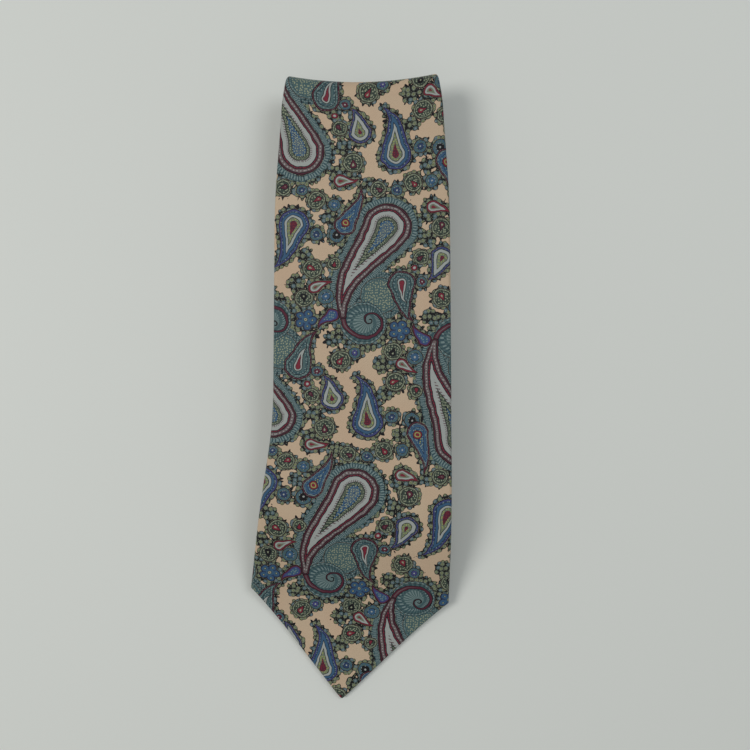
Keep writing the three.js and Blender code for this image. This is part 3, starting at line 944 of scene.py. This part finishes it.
def lay_paisley(art):
    """The curl at the foot and the big paisley, with beads along its outline. Returns its depth and ticks."""
    ground = art.disc(-2.2, -1.4, 9.6, halo=3.2)
    curl, angle = art.curl(0.4, 0.2, 13.5, 0.27, 2.7)
    spokes = (angle * 30.0).math("SINE") > 0.1
    bands = ((0, DEEP_TEAL), (0.4, TEAL), (1.1, INK), (1.3, DEEP_TEAL), (4.0, TEAL))
    flecks = {0: INK, 0.4: PALE_TEAL, 1.3: TEAL, 2.6: PALE_TEAL, 4.0: DEEP_TEAL, 5.2: PALE_TEAL}
    art.lay(ground, bands, flecks, spokes)
    art.lay(curl, ((0, INK), (0.35, MAROON), (1.0, TAUPE), (1.25, MAROON)))

    head, tip = (3.4, 42.4), (-11.2, 1.6)
    body, offset, share, run = art.drop(head, 10.6, tip, 2.0, bow=4.4, halo=4.2)
    side = Vector((-run.y, run.x, 0)).normalized()
    sideways = abs(offset.vector("DOT_PRODUCT", tuple(side)))
    backwards = offset.vector("DOT_PRODUCT", tuple(-run.normalized()))
    around = sideways.math("ARCTAN2", backwards) * 9.0
    outline_run = share.times_plus(run.length, around)
    beads = (outline_run * 4.2).math("SINE") > 0.25
    ticks = (outline_run * 7.0).math("SINE") > 0.0
    art.lay(body, PAISLEY, PAISLEY_BEADS, beads)
    return body, ticks


def lace_ground(shader, art, dots, body, crook, ticks):
    """The cream ground, the florets that gather round every motif and the speckle by the big paisley."""
    florets = shader.cells(art.cloth, 0.47, 0.62)
    hue = shader.add("ShaderNodeSeparateColor", None, (florets.other("Color"),))
    lace = shader.ramp(
        florets, (0, INK), (0.06, LIME), (0.13, DEEP_GREEN), (0.2, PALE_SAGE), (0.29, DEEP_GREEN),
        (0.36, SAGE), (0.43, INK), kind="CONSTANT",
    )
    cool_lace = shader.ramp(
        florets, (0, PALE), (0.08, DEEP_BLUE), (0.17, PALE_TEAL), (0.26, DEEP_TEAL), (0.35, TEAL),
        (0.43, INK), kind="CONSTANT",
    )
    lace = shader.mix(hue > 0.62, lace, cool_lace)
    lace = shader.mix(dots < 0.13, lace, PALE_SAGE)
    edge = (0.5 - florets).times_plus(2.2 / SPAN, art.halo)
    lace = shader.mix(edge < 0.03, lace, INK)
    tone = shader.noise(art.cloth, 0.07, detail=2.0)
    ground = shader.mix(tone, CREAM, WARM_CREAM)
    ground = shader.mix(edge > 0.0, ground, lace)
    speckle = shader.ramp(
        dots, (0, PALE), (0.16, DEEP_TEAL), (0.26, TEAL), (0.48, DEEP_TEAL), (0.62, INK), kind="CONSTANT"
    )
    ground = shader.mix(body.math("MAXIMUM", crook) > (-2.6 / SPAN), ground, speckle)
    fringe = body.times_plus(SPAN, 2.0)
    ring = (fringe > 0.0) * (fringe < 1.5)
    return shader.mix(ring, ground, shader.mix(ticks, DEEP_TEAL, PALE_TEAL))


def make_silk():
    """Silk twill with the paisley print, fine ribs and a soft sheen."""
    shader = Shader(
        "printed_silk",
        Roughness=0.5,
        Specular_IOR_Level=0.16,
        Sheen_Weight=0.04,
        Sheen_Roughness=0.4,
    )
    art = SilkPrint(shader)
    cloth = art.cloth
    dots = shader.cells(cloth, 0.98, 0.7)
    dot = dots < 0.28

    # The ground comes last, over which the motifs are mixed, to keep few values alive at once.
    lay_small_flowers(art, dot)
    crook = lay_leaves(art, dot)
    body, ticks = lay_paisley(art)
    inside = body > 6.6 / SPAN
    motifs = shader.mix(inside * (dots < 0.24), art.colour, PALE_SAGE)
    ground = lace_ground(shader, art, dots, body, crook, ticks)
    colour = shader.mix(art.cover > 0.001, ground, motifs)

    # Cloth: diagonal ribs of the twill, yarns and a faint unevenness of the dye
    lines = cloth.vector("DOT_PRODUCT", (1.0, 0.62, 0.0))
    rib = (lines * 9.5).math("SINE")
    yarn = shader.noise(cloth, 2.6, detail=2.0)
    shade = rib.times_plus(0.03, 0.73) + yarn * 0.14
    tint = shader.add("ShaderNodeCombineColor", None, (shade, shade, shade))
    settings = {"data_type": "RGBA", "blend_type": "MULTIPLY"}
    final = shader.add("ShaderNodeMix", settings, {0: 1.0, 6: colour, 7: tint}, output=2)
    shader.feed("Base Color", final)
    shader.feed("Roughness", yarn.times_plus(0.16, 0.42))
    shader.bump(rib * 0.5 + yarn, 0.00012, 0.5)
    return shader.material


def woven(name, base, thread, pitch, bump, roughness, nap=0.0, **constants):
    """A plain woven cloth: two crossing sets of yarn, slubs and a nap."""
    shader = Shader(name, Roughness=roughness, **constants)
    cloth = shader.add("ShaderNodeUVMap", {"uv_map": "Cloth"}).vector("SCALE", scale=100.0)
    parts = shader.add("ShaderNodeSeparateXYZ", None, (cloth,))
    turn = math.pi / pitch
    warp = (parts * turn).math("SINE")
    weft = (parts.other("Y") * turn).math("SINE")
    weave = abs(warp * weft)
    slub = shader.noise(cloth, 0.6, detail=4.0)
    fuzz = shader.noise(cloth, 5.0, detail=3.0)
    share = (weave * 0.6 + slub * 0.5 + fuzz * nap).math("MULTIPLY", 0.7, clamp=True)
    shader.feed("Base Color", shader.mix(share, base, thread))
    shader.feed("Roughness", slub.times_plus(0.2, roughness - 0.1))
    shader.bump(weave + fuzz * nap, bump, 0.6)
    return shader.material


def make_finishes():
    """Every cloth and thread of the tie, by slot name."""
    canvas = (dye(206, 196, 176), dye(238, 232, 216))
    satin = (dye(62, 76, 96), dye(92, 110, 134))
    thread = (dye(150, 132, 104), dye(196, 180, 150))
    label = (dye(226, 218, 198), dye(244, 240, 226))
    return {
        "silk_print": make_silk(),
        "interlining": woven("canvas_weave", *canvas, 0.9, 0.0003, 0.9, nap=0.6, Sheen_Weight=0.2),
        "tipping": woven("tipping_satin", *satin, 0.35, 0.00008, 0.42, Sheen_Weight=0.3),
        "thread": woven("sewing_thread", *thread, 0.25, 0.00008, 0.7),
        "label": woven("label_weave", *label, 0.4, 0.00008, 0.55, Sheen_Weight=0.2),
    }


FINISHES = {}


def finish(name):
    """The material of a slot, made with the others the first time it is asked for."""
    if not FINISHES:
        FINISHES.update(make_finishes())
    return FINISHES[name]


# ---------------------------------------------------------------- pieces

# The layers between the blade and the tail, by number
WORDS = {2: "second", 3: "third", 4: "fourth", 5: "fifth", 6: "sixth"}
NECK_SHIFT = (31, 17)
TAIL_SHIFT = (-22, 61)

# Name, stretch, start, end, CAD nodes and, where there are any, slants at the two ends and shift of the print
SILK_PIECES = (
    ("blade_point_silk", "point", 0, 64.1, ("blade_silk_point",)),
    ("blade_front_silk", "front", 64.1, 256.92, ("blade_silk_drape", "blade_silk_layer_1")),
    ("top_fold_silk", "fold_1", 256.92, 300.77, ("blade_silk_fold_1",)),
    ("second_layer_silk", "layer_2", None, None, ("blade_silk_layer_2",)),
    ("second_fold_silk", "fold_2", None, None, ("blade_silk_fold_2",)),
    ("third_layer_silk", "layer_3", None, None, ("blade_silk_layer_3",)),
    ("third_fold_silk", "fold_3", None, None, ("blade_silk_fold_3",)),
    ("fourth_layer_silk", "layer_4", None, FIRST_SEAM, ("blade_silk_layer_4",), (0, SEAM_SLANT)),
    ("neck_layer_silk", "layer_4", FIRST_SEAM, None, ("neck_silk_layer_4",), (SEAM_SLANT, 0), NECK_SHIFT),
    ("fourth_fold_silk", "fold_4", None, None, ("neck_silk_fold_4",), PLAIN, NECK_SHIFT),
    ("fifth_layer_silk", "layer_5", None, SECOND_SEAM, ("neck_silk_layer_5",), (0, SEAM_SLANT), NECK_SHIFT),
    ("tail_start_silk", "layer_5", SECOND_SEAM, None, ("tail_silk_layer_5",), (SEAM_SLANT, 0), TAIL_SHIFT),
    ("fifth_fold_silk", "fold_5", None, None, ("tail_silk_fold_5",), PLAIN, TAIL_SHIFT),
    ("sixth_layer_silk", "layer_6", None, None, ("tail_silk_layer_6",), PLAIN, TAIL_SHIFT),
    ("sixth_fold_silk", "fold_6", None, None, ("tail_silk_fold_6",), PLAIN, TAIL_SHIFT),
    ("tail_point_silk", "layer_7", None, LENGTH, ("tail_silk_layer_7",), PLAIN, TAIL_SHIFT),
)

# Name, stretch, start, end, CAD nodes and depths
CANVAS_PIECES = (
    ("point_canvas", "point", 1.2, 64.1, ("interlining_point",), LINING_DEPTH_THIN),
    ("drape_canvas", "front", 64.1, 104.0, ("interlining_drape", "interlining_layer_1"), LINING_DEPTH_THIN),
    ("blade_canvas", "front", 104.0, 256.92, ("interlining_layer_1_end",), LINING_DEPTH),
    ("top_fold_canvas", "fold_1", 256.92, 300.77, ("interlining_fold_1",), LINING_DEPTH),
    *(
        (f"{word}_{kind}_canvas", f"{kind}_{n}", None, None, (f"interlining_{kind}_{n}",), LINING_DEPTH)
        for n, word in WORDS.items()
        for kind in ("layer", "fold")
    ),
    ("tail_canvas", "layer_7", None, 1325.39, ("interlining_layer_7",), LINING_DEPTH),
    ("tail_end_canvas", "layer_7", 1325.39, LENGTH - 1.2, ("interlining_layer_7_end",), LINING_DEPTH_THIN),
)

TIPPING_PIECES = (
    ("point_tipping", "point", 1.2, 64.1, ("blade_tipping_point",)),
    ("blade_lining", "front", 64.1, BLADE_TIPPING, ("blade_tipping_drape", "blade_tipping_layer_1")),
    ("tail_lining", "layer_7", TAIL_TIPPING, LENGTH - 1.2, ("tail_tipping",)),
)

# Name, stretch, start, end and CAD node
STITCHED = (
    ("blade_back_stitches", "front", FLAPS_MEET, 256.0, "slip_stitch_layer_1"),
    *(
        (f"{word}_layer_stitches", f"layer_{n}", None, None, f"slip_stitch_layer_{n}")
        for n, word in WORDS.items()
    ),
    ("tail_stitches", "layer_7", None, LENGTH - TAIL_FLAPS_MEET, "slip_stitch_layer_7"),
)

BLADE_TACK = 106.87
TAIL_TACK = 1332.05
KEEPER_AT = 178.0
LABEL_AT = 212.0
CARE_LABEL_AT = 152.0


def size(name, about, default, **limits):
    """A size in millimetres that a user can change."""
    return FloatProperty(name=name, description=f"{about}, in millimetres", default=default, **limits)


class SewingSizes(bpy.types.PropertyGroup):
    """Sizes of the stitches and the sewn pieces."""

    pitch: size("Stitch spacing", "From one slip stitch to the next", 6.0, min=2.0)
    reach: size("Stitch reach", "How far a slip stitch reaches to each side", 1.5)
    thread: size("Thread radius", "Half the thickness of the sewing thread", 0.2)
    tack_passes: IntProperty(
        name="Tack passes", description="Passes of thread in a bar tack", default=7, min=3
    )
    loop_radius: size("Spare loop", "Radius of the spare loop of thread", 2.5)


class PatchSizes(bpy.types.PropertyGroup):
    """Sizes of the keeper loop and the two blank labels."""

    keeper_length: size("Keeper length", "Across the tie", 52.0)
    keeper_width: size("Keeper width", "Along the tie", 12.0)
    keeper_room: size("Keeper slack", "Room under the loop", 0.55)
    label_width: size("Label width", "Across the tie", 46.0)
    label_length: size("Label length", "Along the tie", 24.0)
    care_width: size("Care label width", "Across the tie", 20.0)
    care_length: size("Care label length", "Along the tie", 15.0)
    band: size("Band", "Thickness of the loop and labels", 0.3)


class StageSettings(bpy.types.PropertyGroup):
    """The floor, the lights and the camera."""

    floor: FloatVectorProperty(
        name="Floor", description="Colour of the floor", subtype="COLOR", default=(0.78, 0.80, 0.77)
    )
    key_power: FloatProperty(
        name="Key light", description="Power of the main light", default=8.5, unit="POWER"
    )
    fill_power: FloatProperty(
        name="Side light", description="Power of the second light", default=4.1, unit="POWER"
    )
    fill: FloatProperty(name="Fill", description="Strength of the even light all round", default=0.3)
    camera_height: FloatProperty(
        name="Camera height", description="Above the table", default=0.38, unit="LENGTH"
    )
    camera_angle: FloatProperty(
        name="Field of view", description="Of the camera", default=math.radians(47.6), subtype="ANGLE"
    )


class NECKTIE_OT_silk(bpy.types.Operator):
    """Sweep the printed silk along the folded path"""

    bl_idname = "necktie.silk"
    bl_label = "Silk"

    def execute(self, context):
        for name, stretch, start, end, *rest in SILK_PIECES:
            swept(name, stretch, start, end, silk_profile, "silk_print", *rest)
        return {"FINISHED"}


class NECKTIE_OT_interlining(bpy.types.Operator):
    """Lay the canvas interlining inside the silk"""

    bl_idname = "necktie.interlining"
    bl_label = "Interlining"

    def execute(self, context):
        for name, stretch, start, end, nodes, depths in CANVAS_PIECES:
            swept(name, stretch, start, end, slab_profile(*depths), "interlining", nodes)
        return {"FINISHED"}


class NECKTIE_OT_tipping(bpy.types.Operator):
    """Line the backs of both points"""

    bl_idname = "necktie.tipping"
    bl_label = "Tipping"

    def execute(self, context):
        for name, stretch, start, end, nodes in TIPPING_PIECES:
            swept(name, stretch, start, end, slab_profile(*TIPPING_DEPTH), "tipping", nodes)
        return {"FINISHED"}


def thread_across(s, reach, shares, lean, depth, sag, stretch):
    """A pass of thread from side to side at s, its two ends sunk into the cloth."""
    return [
        place(s + share * lean, share * reach, depth + sag * abs(share) ** 6, stretch) for share in shares
    ]


def thread_piece(name, paths, radius, nodes, body):
    """Sewing thread along paths, riding on one body."""
    piece = tube_mesh(name, paths, radius * MM)
    layer = piece.data.uv_layers.new(name="Cloth")
    spots = []
    for loop in piece.data.loops:
        spot = piece.data.vertices[loop.vertex_index].co / MM
        spots += [(spot.x + spot.z) / 100, spot.y / 100]
    layer.data.foreach_set("uv", spots)
    piece.data.materials.append(finish("thread"))
    if nodes:
        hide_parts(*nodes)
    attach(piece, body)
    return piece


class NECKTIE_OT_stitches(bpy.types.Operator):
    """Close the back seam with slanted slip stitches"""

    bl_idname = "necktie.stitches"
    bl_label = "Slip stitches"

    def execute(self, context):
        sizes = context.scene.necktie_sewing
        for name, stretch, start, end, node in STITCHED:
            paths = []
            start = limits(stretch)[0] if start is None else start
            end = limits(stretch)[1] if end is None else end
            count = int((end - start) / sizes.pitch)
            for step in range(count):
                s = start + (step + 0.3) * sizes.pitch
                shares = (-1, -0.8, -0.4, 0, 0.4, 0.8, 1)
                paths.append(thread_across(s, sizes.reach, shares, 0.9, -HALF - 0.12, 0.35, stretch))
            body = "blade_front" if stretch == "front" else RIDES[stretch]
            thread_piece(name, paths, sizes.thread, (node,), body)
        return {"FINISHED"}


class NECKTIE_OT_tacks(bpy.types.Operator):
    """Sew a bar tack at each end of the back seam, and leave the spare loop of thread"""

    bl_idname = "necktie.tacks"
    bl_label = "Bar tacks"

    def execute(self, context):
        sizes = context.scene.necktie_sewing
        rows_of_tacks = (
            ("blade_tack", BLADE_TACK, "front", "blade_bar_tack", "blade_front"),
            ("tail_tack", TAIL_TACK, "layer_7", "tail_bar_tack", "tail_layer"),
        )
        for name, at, stretch, node, body in rows_of_tacks:
            passes = sizes.tack_passes
            paths = []
            for step in range(passes):
                s = at + (step - (passes - 1) / 2) * sizes.thread * 1.7
                reach = back_opening(s) + 1.4
                shares = (-1, -0.85, -0.5, 0, 0.5, 0.85, 1)
                paths.append(thread_across(s, reach, shares, 0, -HALF - 0.14, 0.4, stretch))
            thread_piece(name, paths, sizes.thread, (node,), body)
        centre = BLADE_TACK - 1.5 - sizes.loop_radius
        path = []
        for step in range(33):
            angle = math.radians(75 - 330 * step / 32)
            across = sizes.loop_radius * math.cos(angle) * 0.8
            s = centre + sizes.loop_radius * math.sin(angle)
            path.append(place(s, across, -HALF + 0.12 - 0.15 * step / 32, "front"))
        thread_piece("spare_loop", [path], sizes.thread, ("spare_thread_loop",), "blade_front")
        return {"FINISHED"}


def patch(name, at, width, length, depth, band, slot, node):
    """A flat sewn piece on the blade's back. Depth gives how far its near face lies under the middle."""
    tall, wide = 11, 41
    near, far, cloth = [], [], []
    for i in range(tall):
        s = at + length * (i / (tall - 1) - 0.5)
        across_row = [width * (j / (wide - 1) - 0.5) for j in range(wide)]
        near.append([place(s, across, depth(across, s - at), "front") for across in across_row])
        far.append([place(s, across, depth(across, s - at) - band, "front") for across in across_row])
        cloth.append([(across, s + 40) for across in across_row])
    piece = shell(name, far, near, cloth)
    piece.data.materials.append(finish(slot))
    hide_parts(node)
    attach(piece, "blade_front")
    area = min(sheet_area(far, near), width * length * MM * MM)
    return piece


def corner_stitches(name, at, half_across, half_length, under):
    """Small stitches that hold a sewn piece at its corners."""
    paths = []
    for side in (-1, 1):
        for end in (-1, 1):
            for step in range(4):
                s = at + end * (half_length - 0.8 - step * 0.9)
                path = []
                for share in (0, 0.2, 0.5, 0.8, 1):
                    lift = 0.3 * (2 * share - 1) ** 4
                    across = side * (half_across - 1.2 + 1.7 * share)
                    path.append(place(s, across, under + lift, "front"))
                paths.append(path)
    return thread_piece(name, paths, 0.14, (), "blade_front")


class NECKTIE_OT_keeper(bpy.types.Operator):
    """Sew the keeper loop across the blade's back"""

    bl_idname = "necktie.keeper"
    bl_label = "Keeper loop"

    def execute(self, context):
        sizes = context.scene.necktie_patches
        half = sizes.keeper_length / 2

        def depth(across, along):
            loose = smoothstep((half - 5 - abs(across)) / 7)
            roll = 0.12 * (abs(along) / (sizes.keeper_width / 2)) ** 4
            return -HALF - 0.3 - sizes.keeper_room * loose + roll * loose

        patch(
            "keeper_band", KEEPER_AT, sizes.keeper_length, sizes.keeper_width, depth, sizes.band,
            "silk_print", "keeper_loop",
        )
        corner_stitches("keeper_stitches", KEEPER_AT, half, sizes.keeper_width / 2, -HALF - 0.66)
        return {"FINISHED"}


class NECKTIE_OT_labels(bpy.types.Operator):
    """Sew the two blank labels to the blade's back"""

    bl_idname = "necktie.labels"
    bl_label = "Blank labels"

    def execute(self, context):
        sizes = context.scene.necktie_patches

        def depth(across, along):
            wave = noise.noise(Vector((across / 14, along / 11, 5.0)))
            return -HALF - 0.32 - 0.1 * (1 + wave)

        label = (LABEL_AT, sizes.label_width, sizes.label_length)
        care_label = (CARE_LABEL_AT, sizes.care_width, sizes.care_length)
        patches = (
            ("woven_label", "label_stitches", "blank_label", *label),
            ("care_label", "care_stitches", "blank_care_label", *care_label),
        )
        for name, stitches, node, at, width, length in patches:
            patch(name, at, width, length, depth, sizes.band, "label", node)
            corner_stitches(stitches, at, width / 2, length / 2, -HALF - 0.8)
        return {"FINISHED"}


class NECKTIE_OT_stage(bpy.types.Operator):
    """Set out the pale floor, the soft light and the camera above"""

    bl_idname = "necktie.stage"
    bl_label = "Stage"

    def execute(self, context):
        settings = context.scene.necktie_stage
        mesh = bpy.data.meshes.new("floor")
        reach = 3.0
        corners = [(-reach, -reach, 0), (reach, -reach, 0), (reach, reach, 0), (-reach, reach, 0)]
        mesh.from_pydata(corners, [], [(0, 1, 2, 3)])
        floor = bpy.data.objects.new("floor", mesh)
        floor.location.z = -0.0002
        context.collection.objects.link(floor)
        shader = Shader("table_top", Roughness=0.6, Specular_IOR_Level=0.3)
        place_on_floor = shader.add("ShaderNodeTexCoord", output="Object")
        patchy = shader.noise(place_on_floor, 3.0, detail=3.0)
        base = (*settings.floor, 1.0)
        shade = (*(value * 0.97 for value in settings.floor), 1.0)
        shader.feed("Base Color", shader.mix(patchy, base, shade))
        mesh.materials.append(shader.material)

        def area_light(name, spot, size, power, colour):
            light = bpy.data.lights.new(name, "AREA")
            light.shape = "DISK"
            light.size = size
            light.energy = power
            light.color = colour
            lamp = bpy.data.objects.new(name, light)
            lamp.location = spot
            lamp.rotation_euler = (-Vector(spot)).to_track_quat("-Z", "Y").to_euler()
            context.collection.objects.link(lamp)

        area_light("key_light", (-0.95, 0.12, 1.2), 0.65, settings.key_power, (1.0, 0.985, 0.955))
        area_light("fill_light", (0.7, 0.45, 1.2), 0.7, settings.fill_power, (0.95, 0.98, 1.0))
        world = bpy.data.worlds.new("studio")
        world.use_nodes = True
        backdrop = world.node_tree.nodes["Background"]
        backdrop.inputs["Color"].default_value = (0.97, 1.0, 0.98, 1.0)
        backdrop.inputs["Strength"].default_value = settings.fill
        context.scene.world = world
        context.scene.view_settings.view_transform = "Standard"

        eye = bpy.data.cameras.new("camera")
        eye.sensor_fit = "HORIZONTAL"
        eye.angle = settings.camera_angle
        camera = bpy.data.objects.new("camera", eye)
        camera.location = (0.0111, 0.0099, settings.camera_height)
        context.collection.objects.link(camera)
        context.scene.camera = camera
        return {"FINISHED"}


class NECKTIE_PT_panel(bpy.types.Panel):
    """The necktie's pieces and sizes"""

    bl_label = "Necktie"
    bl_idname = "NECKTIE_PT_panel"
    bl_space_type = "VIEW_3D"
    bl_region_type = "UI"
    bl_category = "Necktie"

    def draw(self, context):
        for operator in OPERATORS:
            self.layout.operator(operator.bl_idname)
        scene = context.scene
        for group in (scene.necktie_sewing, scene.necktie_patches, scene.necktie_stage):
            box = self.layout.box()
            for name in group.bl_rna.properties.keys():
                if name not in ("rna_type", "name"):
                    box.prop(group, name)


GROUPS = (SewingSizes, PatchSizes, StageSettings)
OPERATORS = (
    NECKTIE_OT_stage,
    NECKTIE_OT_silk,
    NECKTIE_OT_interlining,
    NECKTIE_OT_tipping,
    NECKTIE_OT_stitches,
    NECKTIE_OT_tacks,
    NECKTIE_OT_keeper,
    NECKTIE_OT_labels,
)


def register():
    for cls in (*GROUPS, *OPERATORS, NECKTIE_PT_panel):
        bpy.utils.register_class(cls)
    bpy.types.Scene.necktie_sewing = PointerProperty(type=SewingSizes)
    bpy.types.Scene.necktie_patches = PointerProperty(type=PatchSizes)
    bpy.types.Scene.necktie_stage = PointerProperty(type=StageSettings)


def unregister():
    del bpy.types.Scene.necktie_stage
    del bpy.types.Scene.necktie_patches
    del bpy.types.Scene.necktie_sewing
    for cls in reversed((*GROUPS, *OPERATORS, NECKTIE_PT_panel)):
        bpy.utils.unregister_class(cls)


def main():
    register()
    bpy.ops.necktie.stage()
    bpy.ops.necktie.silk()
    bpy.ops.necktie.interlining()
    bpy.ops.necktie.tipping()
    bpy.ops.necktie.stitches()
    bpy.ops.necktie.tacks()
    bpy.ops.necktie.keeper()
    bpy.ops.necktie.labels()


if __name__ == "__main__":
    main()
